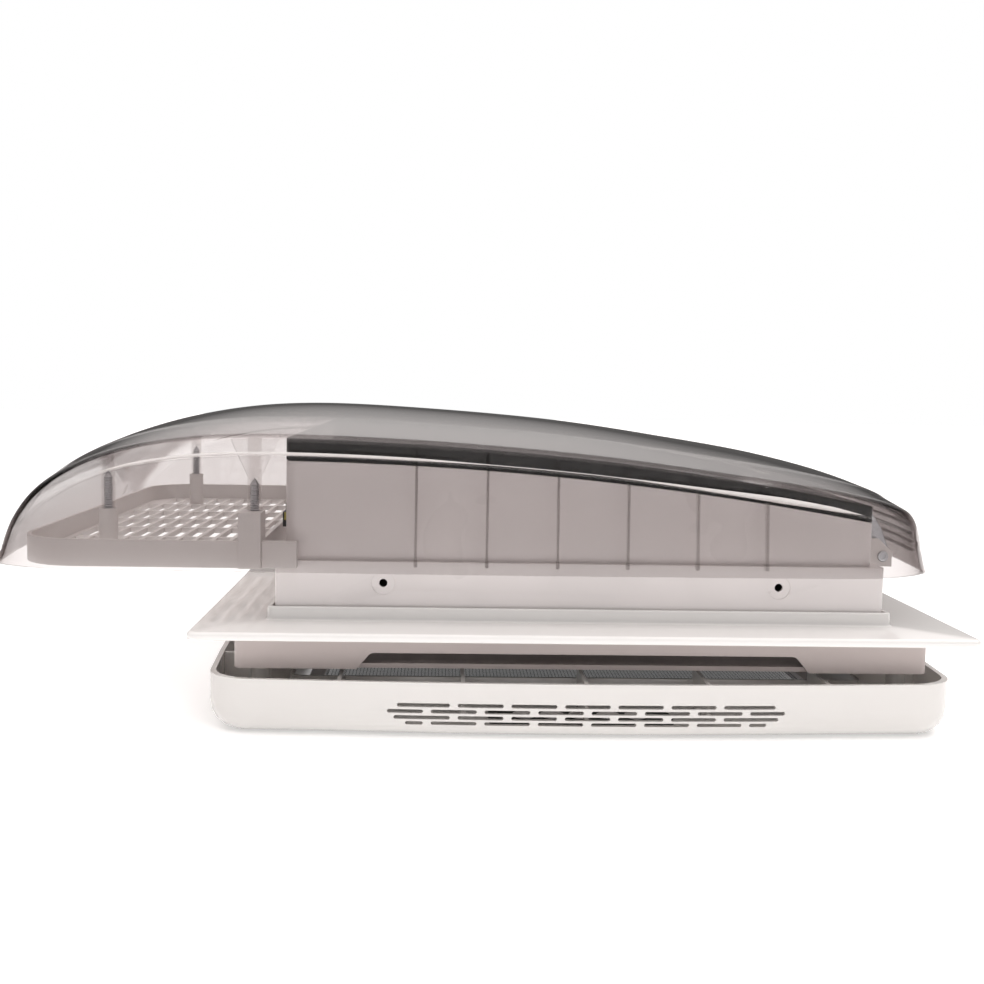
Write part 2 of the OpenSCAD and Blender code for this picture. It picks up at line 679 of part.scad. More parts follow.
module hinge_bracket_near() hinge_bracket(-1);
module hinge_bracket_far() hinge_bracket(1);
module lift_arm_near() lift_arm(-arm_y - 3);
module lift_arm_far() lift_arm(arm_y);
module lift_track_near() lift_track(-1);
module lift_track_far() lift_track(1);
module button_power() button(-2);
module button_fan_less() button(-1);
module button_fan_more() button(0);
module button_lid_open() button(1);
module button_lid_close() button(2);

roof_flange();
collar_seal();
base_frame();
unit_screws();
air_box();
hinge_bracket_near();
hinge_bracket_far();
hinge_pins();
fan_spider();
spider_screws();
fan_motor();
motor_bracket();
lift_motor();
shaft_bearings();
lid_switch();
fan_blades();
fan_shaft();
fan_clip();
dome();
inner_lid();
lid_gasket();
outlet_grille();
grille_tabs();
grille_columns();
dome_posts();
grille_screws();
hinge_arms();
lift_track_near();
lift_track_far();
lift_shaft();
lift_arm_near();
lift_arm_far();
arm_sliders();
sector_gear();
lift_pinion();
pinion_shaft();
ceiling_frame();
clamp_screws();
trim();
trim_screws();
control_panel();
infrared_window();
screen_pins();
screen_frame();
screen_mesh();
button_power();
button_fan_less();
button_fan_more();
button_lid_open();
button_lid_close();
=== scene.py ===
# %% [markdown]
# # A powered roof vent for a caravan
# The real thing is a stack of moulded plastic parts. A smoked acrylic lid with a wind-shaped nose sits over
# a white air box. Below it come a glossy flange that lies on the roof, a frame under the ceiling and a
# curved trim. The CAD holds the true sizes and the moving bodies. This file gives each part its look:
# smooth surfaces worked out with numpy, softened edges, and a material made from nodes.

import json
import math

import bmesh
import bpy
import numpy as np
from mathutils import Matrix, Vector

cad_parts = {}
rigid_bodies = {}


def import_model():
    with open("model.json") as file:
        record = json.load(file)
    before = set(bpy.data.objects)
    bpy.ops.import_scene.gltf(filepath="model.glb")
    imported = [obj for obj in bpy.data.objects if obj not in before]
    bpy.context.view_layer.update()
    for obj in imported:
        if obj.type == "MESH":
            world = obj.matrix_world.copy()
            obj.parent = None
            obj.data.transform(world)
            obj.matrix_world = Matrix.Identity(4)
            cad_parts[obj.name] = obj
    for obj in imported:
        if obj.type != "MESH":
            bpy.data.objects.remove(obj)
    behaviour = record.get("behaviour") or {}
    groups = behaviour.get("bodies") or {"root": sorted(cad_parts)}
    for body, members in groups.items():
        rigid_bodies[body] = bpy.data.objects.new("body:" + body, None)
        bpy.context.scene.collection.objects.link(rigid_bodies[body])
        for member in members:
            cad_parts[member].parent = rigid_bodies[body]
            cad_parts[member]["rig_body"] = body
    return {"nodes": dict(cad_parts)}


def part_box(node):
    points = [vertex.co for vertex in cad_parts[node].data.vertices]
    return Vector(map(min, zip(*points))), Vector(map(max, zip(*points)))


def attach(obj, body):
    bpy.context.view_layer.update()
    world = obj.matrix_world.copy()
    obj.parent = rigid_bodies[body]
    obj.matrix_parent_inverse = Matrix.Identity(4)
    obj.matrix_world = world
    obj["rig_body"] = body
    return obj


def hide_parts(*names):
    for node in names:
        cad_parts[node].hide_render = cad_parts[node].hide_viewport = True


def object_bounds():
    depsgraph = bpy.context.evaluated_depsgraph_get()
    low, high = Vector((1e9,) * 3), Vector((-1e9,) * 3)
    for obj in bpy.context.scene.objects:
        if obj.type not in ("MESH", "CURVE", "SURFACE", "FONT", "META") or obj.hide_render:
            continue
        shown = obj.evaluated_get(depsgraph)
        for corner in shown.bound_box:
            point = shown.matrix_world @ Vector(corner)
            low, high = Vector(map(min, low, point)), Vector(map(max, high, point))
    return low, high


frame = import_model()
cad_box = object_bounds()
MM = 0.001
print("CAD box in mm:", [[round(v * 1000, 1) for v in corner] for corner in cad_box])

# %% [markdown]
# ## Helpers for materials
# A material is a small net of nodes. One function adds a node, sets its sockets or properties by name,
# and joins its inputs. Colours are written as sRGB hex, as a paint chart gives them, and one function
# turns them to the linear values that the renderer works in.


# %% Colour and node helpers
def colour(hex_code):
    """Turns sRGB '#RRGGBB' to linear RGBA.

    Below 0.04045 a share c is divided by 12.92. Above it, it becomes ((c + 0.055) / 1.055) ^ 2.4.
    """
    c = np.array([int(hex_code[i : i + 2], 16) for i in (1, 3, 5)]) / 255
    return (*np.where(c <= 0.04045, c / 12.92, ((c + 0.055) / 1.055) ** 2.4).tolist(), 1.0)


def add(material, kind, settings=(), links=()):
    """Adds one node.

    settings is {socket or property: value}, and links is {input socket: (node, output socket)}.
    """
    tree = material.node_tree
    n = tree.nodes.new(kind)
    for key, value in dict(settings).items():
        if isinstance(key, int) or key in n.inputs:
            n.inputs[key].default_value = value
        else:
            setattr(n, key, value)
    for key, (source, output) in dict(links).items():
        tree.links.new(source.outputs[output], n.inputs[key])
    return n


def empty_material(name):
    """A material with only an output node, and Object coordinates to hang patterns on."""
    m = bpy.data.materials.new(name)
    m.use_nodes = True
    m.node_tree.nodes.clear()
    out = add(m, "ShaderNodeOutputMaterial")
    where = add(m, "ShaderNodeTexCoord")
    return m, out, where


materials = {}

# %% [markdown]
# ## Moulded plastics
# ABS comes out of a polished mould with a faint orange peel: waves a few millimetres long and microns
# high. They show only as a slight wobble in the reflections. A fine spark-eroded mould gives a satin
# grain of about half a millimetre instead. Both are a noise texture feeding a bump node, and a second,
# broad noise moves the colour and the roughness a little, as handling and dust do.


# %% Moulded plastic
PATCH_MM = 60  # size of the patches in which tone and roughness drift
SMOOTHEST, ROUGHEST = 0.85, 1.2  # how far a patch's roughness moves, as a factor


def moulded(name, tone, shade, roughness, wave_mm, height_mm, ior=1.52, coat=0.0):
    """Plastic from a mould: two close tones in patches, and waves wave_mm long and height_mm high."""
    m, out, where = empty_material(name)
    patches = add(m, "ShaderNodeTexNoise", {"Scale": 1 / (PATCH_MM * MM), "Detail": 2.0},
                  {"Vector": (where, "Object")})
    tones = add(m, "ShaderNodeMix", {"data_type": "RGBA", 6: colour(tone), 7: colour(shade)},
                {"Factor": (patches, "Fac")})
    rough = add(m, "ShaderNodeMapRange", {"To Min": roughness * SMOOTHEST, "To Max": roughness * ROUGHEST},
                {"Value": (patches, "Fac")})
    waves = add(m, "ShaderNodeTexNoise", {"Scale": 1 / (wave_mm * MM), "Detail": 1.0},
                {"Vector": (where, "Object")})
    bump = add(m, "ShaderNodeBump", {"Strength": 1.0, "Distance": height_mm * MM}, {"Height": (waves, "Fac")})
    body = add(m, "ShaderNodeBsdfPrincipled", {"IOR": ior, "Coat Weight": coat, "Coat Roughness": 0.05},
               {"Base Color": (tones, 2), "Roughness": (rough, "Result"), "Normal": (bump, "Normal")})
    m.node_tree.links.new(body.outputs["BSDF"], out.inputs["Surface"])
    materials[name] = m


moulded("glossy_white_abs", "#E9E6E3", "#E4E1DE", 0.12, 7, 0.004, coat=0.3)
moulded("polished_white_asa", "#F5F3F1", "#F0EEEC", 0.1, 8, 0.003, coat=0.5)
moulded("white_abs", "#EEE8E7", "#E2DDDC", 0.28, 4, 0.006)
moulded("satin_white_abs", "#E6E1DF", "#DFDAD8", 0.42, 1.0, 0.010)
# warm_grey_abs serves only the ceiling frame; it is set about half as bright as the white mouldings.
moulded("warm_grey_abs", "#C6BBB8", "#BEB3B0", 0.45, 1.0, 0.010)
moulded("black_abs", "#1E1E1B", "#191917", 0.38, 0.8, 0.01)
moulded("polished_black_abs", "#131311", "#10100F", 0.14, 5, 0.004)
moulded("switch_grey_nylon", "#3E3D40", "#343438", 0.5, 0.8, 0.02)
moulded("natural_nylon", "#E6E2D4", "#DCD7C6", 0.4, 1.0, 0.01)
moulded("seal_rubber", "#1C1C1B", "#262625", 0.75, 0.8, 0.03)
moulded("red_filter_acrylic", "#2A0C10", "#1E080B", 0.08, 5, 0.002, ior=1.49)
moulded("yellow_paper_label", "#C9C06A", "#BDB45E", 0.6, 0.5, 0.01)
print(len(materials), "moulded finishes")

# %% [markdown]
# ## Zinc-plated steel
# Pins, screws, arms and brackets are bright zinc over steel: grey, a little blue, and brushed by
# tumbling. Short streaks come from noise that is stretched along one axis.


# %% Zinc-plated steel
STREAK_MM = 3  # length of a tumbling streak


def plated(name, tone, shade, roughness, stretch=(1, 8, 8)):
    """Metal with streaks: noise squeezed by stretch moves tone and roughness."""
    m, out, where = empty_material(name)
    place = add(m, "ShaderNodeMapping", {"Scale": stretch}, {"Vector": (where, "Object")})
    streaks = add(m, "ShaderNodeTexNoise", {"Scale": 1 / (STREAK_MM * MM), "Detail": 3.0},
                  {"Vector": (place, "Vector")})
    tones = add(m, "ShaderNodeMix", {"data_type": "RGBA", 6: colour(tone), 7: colour(shade)},
                {"Factor": (streaks, "Fac")})
    rough = add(m, "ShaderNodeMapRange", {"To Min": roughness * 0.8, "To Max": roughness * 1.3},
                {"Value": (streaks, "Fac")})
    body = add(m, "ShaderNodeBsdfPrincipled", {"Metallic": 1.0},
               {"Base Color": (tones, 2), "Roughness": (rough, "Result")})
    m.node_tree.links.new(body.outputs["BSDF"], out.inputs["Surface"])
    materials[name] = m


plated("zinc_plated_steel", "#D0D1D4", "#B4B6BA", 0.28)
plated("black_painted_steel", "#2C2C2E", "#232325", 0.4)
print("metals ready")

# %% [markdown]
# ## Smoked acrylic
# The lid is cast acrylic, 3 mm thick, dyed grey brown. The dye is in the depth of the sheet, so what is
# seen through a wall edge-on is much darker than what is seen straight through it. The surface lets
# rays straight on and mirrors a share that grows towards grazing angles as Schlick's curve
# F0 + (1 - F0) * (1 - cos) ^ 5 gives, with F0 = 0.04 for acrylic. The absorption is in the volume.


# %% Smoked acrylic
ACRYLIC_F0 = 0.04  # share mirrored when looking straight on
ACRYLIC_IOR = 1.49


def smoked(name, dye, density):
    """Clear surface with a Schlick mirror share, over a volume that takes light away per metre."""
    m, out, _ = empty_material(name)
    facing = add(m, "ShaderNodeLayerWeight", {"Blend": 0.5})
    fifth = add(m, "ShaderNodeMath", {"operation": "POWER", 1: 5.0}, {0: (facing, "Facing")})
    share = add(m, "ShaderNodeMapRange", {"To Min": ACRYLIC_F0, "To Max": 1.0},
                {"Value": (fifth, "Value")})
    clear = add(m, "ShaderNodeBsdfTransparent", {"Color": (0.985, 0.985, 0.985, 1)})
    mirror = add(m, "ShaderNodeBsdfAnisotropic", {"Roughness": 0.03, "Color": (1, 1, 1, 1)})
    skin = add(m, "ShaderNodeMixShader", {},
               {0: (share, "Result"), 1: (clear, "BSDF"), 2: (mirror, "BSDF")})
    depth = add(m, "ShaderNodeVolumeAbsorption", {"Color": dye, "Density": density})
    m.node_tree.links.new(skin.outputs["Shader"], out.inputs["Surface"])
    m.node_tree.links.new(depth.outputs["Volume"], out.inputs["Volume"])
    materials[name] = m


smoked("smoked_acrylic", (0.665, 0.630, 0.626, 1), 238)
smoked("clear_acrylic", (0.72, 0.68, 0.67, 1), 110)
print("clear acrylics ready")

# %% [markdown]
# ## Painted highlight acrylic
# A pale strip of the same acrylic is a painted highlight: its near-white, mostly matt surface stands in
# for the lights' reflection along the lid's side step. A fine grain in the bump does the scattering, and a
# quarter of the light still goes straight on, so that what lies behind can be guessed. A fully clear strip
# could not be told from the wall.


# %% Painted highlight acrylic
def highlight_paint(name, tone, clear_share):
    """A painted highlight: pale acrylic that mostly scatters light, while a share goes straight on."""
    m, out, where = empty_material(name)
    grain_mm, height_mm = 0.8, 0.02
    grain = add(m, "ShaderNodeTexNoise", {"Scale": 1 / (grain_mm * MM), "Detail": 2.0},
                {"Vector": (where, "Object")})
    bump = add(m, "ShaderNodeBump", {"Strength": 0.3, "Distance": height_mm * MM},
               {"Height": (grain, "Fac")})
    white = add(m, "ShaderNodeBsdfPrincipled",
                {"Base Color": colour(tone), "Roughness": 0.25, "IOR": ACRYLIC_IOR},
                {"Normal": (bump, "Normal")})
    clear = add(m, "ShaderNodeBsdfTransparent")
    both = add(m, "ShaderNodeMixShader", {0: clear_share}, {1: (white, "BSDF"), 2: (clear, "BSDF")})
    m.node_tree.links.new(both.outputs["Shader"], out.inputs["Surface"])
    materials[name] = m


# The near-white tone #F6F1EF is a painted highlight for the strip along the lid's side step.
highlight_paint("painted_highlight_acrylic", "#F6F1EF", 0.25)
print(len(materials), "materials in all")

# %% [markdown]
# ## Helpers for shapes
# Two ways of making a surface cover nearly every part here. A grid of points, computed as one array, is
# joined into quads. And a closed outline of a wall's section is carried round a rounded square, because
# the flange, the walls, the frames and the trim are all square rings with rounded corners.


# %% Grids, rings and finishing
def to_mesh(name, points, quads, material, body, smooth=True):
    """Makes an object from an (n, 3) array in millimetres and an (m, 4) array of indices."""
    mesh = bpy.data.meshes.new(name)
    mesh.from_pydata((np.asarray(points) * MM).tolist(), [], np.asarray(quads).tolist())
    mesh.validate()
    o = bpy.data.objects.new(name, mesh)
    bpy.context.scene.collection.objects.link(o)
    o.data.materials.append(materials[material])
    tidy(o)
    if smooth:
        shade(o)
    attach(o, body)
    return o


def tidy(o, distance=1e-6):
    """Joins doubled points and turns the faces outwards."""
    b = bmesh.new()
    b.from_mesh(o.data)
    bmesh.ops.remove_doubles(b, verts=b.verts, dist=distance)
    bmesh.ops.recalc_face_normals(b, faces=b.faces)
    b.to_mesh(o.data)
    b.free()


def shade(o, angle=35):
    """Smooth shading, with edges sharper than the angle kept crisp."""
    o.data.shade_smooth()
    o.data.set_sharp_from_angle(angle=math.radians(angle))


def grid_quads(rows, cols, loop_rows=False, loop_cols=False, first=0):
    """Quads of a rows by cols grid; a looped direction joins its last line to its first."""
    i = np.arange(rows if loop_rows else rows - 1)[:, None]
    j = np.arange(cols if loop_cols else cols - 1)[None, :]
    i2, j2 = (i + 1) % rows, (j + 1) % cols
    quads = np.stack([i * cols + j, i * cols + j2, i2 * cols + j2, i2 * cols + j], -1)
    return quads.reshape(-1, 4) + first


def rounded_outline(corners, radii, steps=6):
    """Rounds a closed (h, z) outline: each corner becomes an arc that leaves both sides at their tangents."""
    p = np.asarray(corners, float)
    out = []
    for k, r in enumerate(radii):
        a, c, d = p[k - 1], p[k], p[(k + 1) % len(p)]
        u, w = (a - c) / np.linalg.norm(a - c), (d - c) / np.linalg.norm(d - c)
        if r <= 0:
            out.append(c[None])
            continue
        half = math.acos(np.clip(u @ w, -1, 1)) / 2
        t = np.linspace(0, 1, steps + 1)[:, None]
        start, end = c + u * r / math.tan(half), c + w * r / math.tan(half)
        centre = c + (u + w) / np.linalg.norm(u + w) * r / math.sin(half)
        ray = (start - centre) * (1 - t) + (end - centre) * t
        out.append(centre + ray / np.linalg.norm(ray, axis=1, keepdims=True) * r)
    return np.concatenate(out)


def square_ring(outline, corner_radius, bow=0.0, side=24, corner=10):
    """Carries an outline of (h, z) round a square.

    A side's points lie at distance h less bow * t ^ 2. A corner is an arc of the radius that
    corner_radius gives for h.
    """
    h, z = outline[:, 0][:, None], outline[:, 1][:, None]
    r = np.interp(h, *corner_radius)
    c = h - bow - r
    t = np.linspace(-1, 1, side)[None, :]
    a = np.radians(np.linspace(0, 90, corner + 2)[1:-1])[None, :]
    x = np.concatenate([h - bow * t**2, c + r * np.cos(a)], 1)
    y = np.concatenate([c * t, c + r * np.sin(a)], 1)
    x, y = np.concatenate([x, -y, -x, y], 1), np.concatenate([y, x, -y, -x], 1)
    return np.stack([x, y, np.broadcast_to(z, x.shape)], -1)


def ring_piece(name, corners, radii, corner_radius, material, body, bow=0.0, lift=None, side=24):
    """A closed square ring of that section. lift moves its points up or down by where they are."""
    grid = square_ring(rounded_outline(corners, radii), corner_radius, bow, side)
    if lift:
        grid[..., 2] = lift(grid[..., 0], grid[..., 2])
    n, m = grid.shape[:2]
    return to_mesh(name, grid.reshape(-1, 3), grid_quads(n, m, True, True), material, body)


def joined(name, parts, material, body, smooth=False):
    """Puts several closed surfaces into one object."""
    starts = np.cumsum([0] + [len(p) for p, _ in parts[:-1]])
    points = np.concatenate([p for p, _ in parts])
    quads = np.concatenate([q + start for (_, q), start in zip(parts, starts)])
    return to_mesh(name, points, quads, material, body, smooth)


def softened(node, material, radius_mm):
    """A copy of a CAD node with joined points, flat faces made whole, and its edges rounded."""
    source = frame["nodes"][node]
    o = bpy.data.objects.new(node + "_soft", source.data.copy())
    bpy.context.scene.collection.objects.link(o)
    b = bmesh.new()
    b.from_mesh(o.data)
    bmesh.ops.remove_doubles(b, verts=b.verts, dist=2e-6)
    bmesh.ops.dissolve_limit(b, angle_limit=math.radians(1.0), verts=b.verts, edges=b.edges)
    b.to_mesh(o.data)
    b.free()
    o.data.materials.clear()
    o.data.materials.append(materials[material])
    rounding = o.modifiers.new("rounding", "BEVEL")
    rounding.width = radius_mm * MM
    rounding.segments = 2
    rounding.limit_method = "ANGLE"
    rounding.angle_limit = math.radians(40)
    rounding.harden_normals = False
    shade(o, 38)
    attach(o, source["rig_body"])
    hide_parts(node)
    return o


def cad(node, material):
    """Gives a CAD node its finish."""
    o = frame["nodes"][node]
    o.data.materials.clear()
    o.data.materials.append(materials[material])


print("shape helpers ready")

# %% [markdown]
# ## The lid
# The lid's shape is two curves: the shoulder crease along each side, and the centre line over the top.
# Between them the top rises fast over a bevel, then crowns gently. Below the crease the wall
# drops with a step and some draft to the rim. Towards both ends the plan comes in and rounds off.

# %% The lid's curves
RIM_Z, RIM_Y, CREASE_Y, LID_MID = 37.0, 214.0, 204.0, -75.0
side_line = np.array([[-375, 38], [-362, 66], [-339, 90], [-301, 109.3], [-250, 119.5],
                      [-190, 122], [-100, 119.5], [0, 112.5], [90, 102], [160, 92], [203, 82],
                      [222, 69], [232, 38]], float)
mid_line = np.array([[-386, 37], [-379, 62], [-355, 92], [-311, 117], [-255, 132],
                     [-190, 137.5], [-100, 134.5], [0, 127], [90, 115], [160, 103.5],
                     [209, 90], [231, 72], [239, 37]], float)
SPANS = len(side_line) - 1
LEDGE_DROP = 13.0  # how far the side's small step lies below the crease
END_FROM, END_LONG, END_DEEP = 240.0, 70.0, 50.0
WALL = 3.0  # mm, the CAD's own wall


def spline(points, u):
    """Catmull-Rom curve through the points: each span is a cubic with slopes from its neighbours."""
    i = np.clip(np.floor(u).astype(int), 0, len(points) - 2)
    t = (u - i)[:, None]
    a, b = points[np.maximum(i - 1, 0)], points[i]
    c, d = points[i + 1], points[np.minimum(i + 2, len(points) - 1)]
    square = (2 * a - 5 * b + 4 * c - d) * t**2
    cube = (3 * b - a - 3 * c + d) * t**3
    return 0.5 * (2 * b + (c - a) * t + square + cube)


def come_in(x):
    """How far the side has come in: a parabola of 5 mm, then a quarter ellipse round each end."""
    e = np.abs(x - LID_MID)
    share = np.clip(e - END_FROM, 0, END_LONG) / END_LONG
    return 5 * (e / 290) ** 2 + END_DEEP * (1 - np.sqrt(1 - share**2))


def crown(v, bevel=0.26, rise=0.55):
    """Share of the way up to the centre line at share v across: a straight bevel, then a parabola."""
    over = rise + (1 - rise) * (1 - ((1 - v) / (1 - bevel)) ** 2)
    return np.where(v < bevel, rise * v / bevel, over)


def round_corners(controls, cuts, steps):
    """Weights that turn control points into a path.

    Each inner control point is replaced by a quadratic curve. It starts the first cut's share back
    along the line and ends the second cut's share on.
    """
    rows = [np.eye(controls)[0]]
    for k in range(1, controls - 1):
        before, here, after = np.eye(controls)[k - 1], np.eye(controls)[k], np.eye(controls)[k + 1]
        p = here + cuts[k][0] * (before - here)
        q = here + cuts[k][1] * (after - here)
        for t in np.linspace(0, 1, steps[k]) if steps[k] > 1 else [None]:
            rows.append(here if t is None else (1 - t) ** 2 * p + 2 * t * (1 - t) * here + t**2 * q)
    return np.array(rows + [np.eye(controls)[-1]])


print("crease and centre line:", len(side_line), "points each")


# %% The lid's skin
def lid_skin(stations, step):
    """Grid of stations by cross-section points, from the near rim over the top to the far rim."""
    u = SPANS * np.linspace(0, 1, stations)
    s, m = spline(side_line, u), spline(mid_line, u)
    inward = come_in(s[:, 0])
    yc, yr = CREASE_Y - inward, RIM_Y - inward
    drop = np.minimum(LEDGE_DROP, (s[:, 1] - RIM_Z) * 0.45)
    ledge = step * np.clip((s[:, 1] - RIM_Z) / 30, 0, 1)

    def at(x, y, z):
        return np.stack([x, -y, z], -1)

    controls = [at(s[:, 0], yr, s[:, 1] * 0 + RIM_Z),
                at(s[:, 0], yc + 5, s[:, 1] - drop),
                at(s[:, 0], yc + 5 - ledge, s[:, 1] - drop + 0.35 * ledge),
                at(s[:, 0], yc, s[:, 1])]
    v = np.array([0.255, 0.285, 0.36, 0.44, 0.52, 0.6, 0.68, 0.76, 0.84, 0.92, 1.0])
    for k, share in enumerate(v):
        g = crown(share)
        panel = -0.4 * step * np.clip((s[:, 1] - RIM_Z) / 60, 0, 1) if k == 0 else 0.0
        controls.append(at(s[:, 0] + (m[:, 0] - s[:, 0]) * g, yc * (1 - share),
                           s[:, 1] + (m[:, 1] - s[:, 1]) * g + panel))
    cuts = {1: (0.02, 0.4), 2: (0.4, 0.06), 3: (0.35, 0.09), 4: (0.05, 0.45), 5: (0.45, 0.3)}
    steps = {1: 4, 2: 4, 3: 9, 4: 4, 5: 4}
    count = len(controls)
    w = round_corners(count, {k: cuts.get(k, (0.3, 0.3)) for k in range(count)},
                      {k: steps.get(k, 3) for k in range(count)})
    low = np.linspace(0, 1, 8)[1:-1, None] * (w[1] - w[0]) + w[0]
    w = np.concatenate([w[:1], low, w[1:]])
    half = np.einsum("kj,jnd->nkd", w, np.array(controls))
    far = half[:, -2::-1] * [1, -1, 1]
    return np.concatenate([half, far], 1)


def offset_inwards(grid, thickness):
    """Moves each point against the surface's normal, which is the cross product of the grid's two slopes."""
    du, dv = np.gradient(grid, axis=0), np.gradient(grid, axis=1)
    n = np.cross(dv, du)
    n /= np.linalg.norm(n, axis=-1, keepdims=True) + 1e-12
    n *= np.sign(n[n.shape[0] // 2, n.shape[1] // 2, 2])
    inner = grid - n * thickness
    inner[..., 2] = np.maximum(inner[..., 2], RIM_Z)
    inner[:, 0, 2] = inner[:, -1, 2] = RIM_Z
    return inner


outside = lid_skin(181, 2.2)
outside[..., 2] = np.minimum(outside[..., 2], cad_box[1].z / MM)
inside = offset_inwards(lid_skin(181, 0.0), WALL)
rows, cols = outside.shape[:2]
flat = rows * cols
edge = np.concatenate([np.arange(cols), np.arange(1, rows) * cols + cols - 1,
                       (rows - 1) * cols + np.arange(cols - 2, -1, -1), np.arange(rows - 2, 0, -1) * cols])
close = np.stack([edge, np.roll(edge, -1), np.roll(edge, -1) + flat, edge + flat], -1)
dome = to_mesh("smoked_lid", np.concatenate([outside.reshape(-1, 3), inside.reshape(-1, 3)]),
               np.concatenate([grid_quads(rows, cols), grid_quads(rows, cols, first=flat), close]),
               "smoked_acrylic", "lid")
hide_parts("dome")
print("lid skin:", rows, "by", cols, "points")

# %% [markdown]
# ### Ribs behind the lid's sides
# Six thin ribs stiffen each side of the lid from inside. They are plates 1.6 mm thick that stand in
# from the wall by a few millimetres, so light crosses them lengthwise and they look like dark lines.
# Each ends in a small foot. A rib is a strip of points down the wall, taken from the inner skin, and
# swept to its depth and thickness.


# %% Ribs of the lid
def wall_point(grid, x, z):
    """The y of the near wall where it passes the given x and heights, read from the skin's grid."""
    column = np.argmin(np.abs(grid[:, 0, 0] - x))
    low_part = grid[column, : grid.shape[1] // 2]
    order = np.argsort(low_part[:, 2])
    return np.interp(z, low_part[order, 2], low_part[order, 1])


def rib(x, z_low, z_high, depth_low, depth_high, thick, side):
    """A closed plate: 24 heights of four corners, standing in from the wall by a depth that grows with z."""
    z = np.linspace(z_low, z_high, 24)
    depth = np.interp(z, [z_low, z_high], [depth_low, depth_high])
    y = wall_point(inside, x, z) + 0.15
    corners = ((-thick / 2, 0), (thick / 2, 0), (thick / 2, 1), (-thick / 2, 1))
    ring = np.stack([np.stack([z * 0 + x + dx, side * -(y + dy * depth), z], -1) for dx, dy in corners], 1)
    points = ring.reshape(-1, 3)
    n = len(points)
    ends = [[3, 2, 1, 0], [n - 4, n - 3, n - 2, n - 1]]
    return points, np.concatenate([grid_quads(24, 4, loop_cols=True), ends])


RIB_GAP, RIB_FIRST = 44.5, -106.5
parts = []
for side in (-1, 1):
    for k in range(6):
        x = RIB_FIRST + RIB_GAP * k
        crease_z = float(np.interp(x, side_line[:, 0], side_line[:, 1]))
        parts.append(rib(x, 46, crease_z - 5, 4.5, 7.5, 1.6, side))
        parts.append(rib(x, 41, 45.6, 6.0, 6.0, 2.2, side))
ribs = joined("lid_ribs", parts, "smoked_acrylic", "lid")
print("ribs:", len(parts) // 2)

# %% [markdown]
# ### Louvre ribs and the painted side highlight
# Level ribs cross the inside of the front wall, where air slips out. Along each side, on the small
# step below the shoulder, a pale strip is a painted highlight in place of the lights' reflection: it
# starts at the nose, thins in the middle and swells again towards the hinge, as that highlight does.
# A rib follows the inner skin at one height. The strip is an ellipse carried along the step.


# %% Louvre ribs
def louvre(z, depth=4.0, thick=1.1):
    """At height z each column of the inner skin gives one point, and the rib goes from there inwards."""
    side_columns = 22  # columns at each side that belong to the side walls
    front = inside[inside.shape[0] * 2 // 3 :, side_columns:-side_columns]
    line = np.array([[np.interp(-z, -front[:, c, 2], front[:, c, axis]) for axis in (0, 1)]
                     for c in range(front.shape[1])])
    corners = ((0.1, -thick / 2), (0.1, thick / 2), (depth, thick / 2), (depth, -thick / 2))
    ring = np.stack([np.stack([line[:, 0] - dx, line[:, 1], line[:, 1] * 0 + z + dz], -1)
                     for dx, dz in corners], 1)
    n = len(line)
    ends = [[3, 2, 1, 0], [4 * n - 4, 4 * n - 3, 4 * n - 2, 4 * n - 1]]
    return ring.reshape(-1, 3), np.concatenate([grid_quads(n, 4, loop_cols=True), ends])


louvres = joined("lid_louvres", [louvre(z) for z in range(50, 81, 6)], "smoked_acrylic", "lid")
print("louvres:", len(louvres.data.polygons), "faces")


# %% Painted side highlights
# Where along the side the painted highlight strip runs, and its half height there, in mm.
HIGHLIGHT_X = [-306, -285, -190, -110, -60, 20, 70, 125, 160, 178]
HIGHLIGHT_H = [0.05, 0.9, 1.1, 0.9, 0.25, 0.25, 0.9, 2.0, 1.4, 0.05]
HIGHLIGHT_DEPTH = 0.6


def highlight_strip(side, turns=12, stations=200):
    """A painted highlight strip: an ellipse with half height h(x) and a small fixed half depth, carried along
    the side's step.
    """
    x = np.linspace(HIGHLIGHT_X[0], HIGHLIGHT_X[-1], stations)
    h = np.interp(x, HIGHLIGHT_X, HIGHLIGHT_H)
    z_crease = np.interp(x, *spline(side_line, np.linspace(0, SPANS, 400)).T)
    z = z_crease - LEDGE_DROP + 1.2
    y = np.array([wall_point(outside, a, b) for a, b in zip(x, z)]) + 0.25
    a = np.linspace(0, 2 * np.pi, turns, endpoint=False)[None, :]
    ring = np.stack([np.broadcast_to(x[:, None], (stations, turns)),
                     -side * (y[:, None] - HIGHLIGHT_DEPTH * np.cos(a)),
                     z[:, None] + h[:, None] * np.sin(a)], -1)
    quads = grid_quads(stations, turns, loop_cols=True)
    caps = [[k, k + 1, turns - 2 - k, turns - 1 - k] for k in range(turns // 2 - 1)]
    caps += [[(stations - 1) * turns + i for i in c] for c in caps]
    return ring.reshape(-1, 3), np.concatenate([quads, caps])


# Both sides get a painted highlight strip of pale acrylic.
highlight_strips = joined("lid_painted_highlight_strips", [highlight_strip(-1), highlight_strip(1)], "painted_highlight_acrylic", "lid", smooth=True)
print("facets:", len(highlight_strips.data.polygons), "faces")

# %% [markdown]
# ## The roof flange
# One moulding: a flat plate with a rounded rim, a collar that stands up round the fan housing, and a short
# wall that drops into the roof. Its section is one closed outline carried round a square.

# %% Roof flange
flange = ring_piece(
    "flange_moulding",
    [(182, 0), (182, 3), (197, 3), (197, 13.5), (200, 13.5), (200.4, 5), (242.5, 5), (242.5, 0),
     (198, 0), (198, -11), (195.5, -11), (195.5, 0)],
    [0.3, 0.3, 0.6, 0.7, 0.9, 1.6, 2.4, 1.2, 0.4, 0.4, 0.4, 0.4],
    ([182, 195.5, 200, 242.5], [6, 3, 5, 6]), "polished_white_asa", "vent")
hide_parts("roof_flange")
print("flange faces:", len(flange.data.polygons))


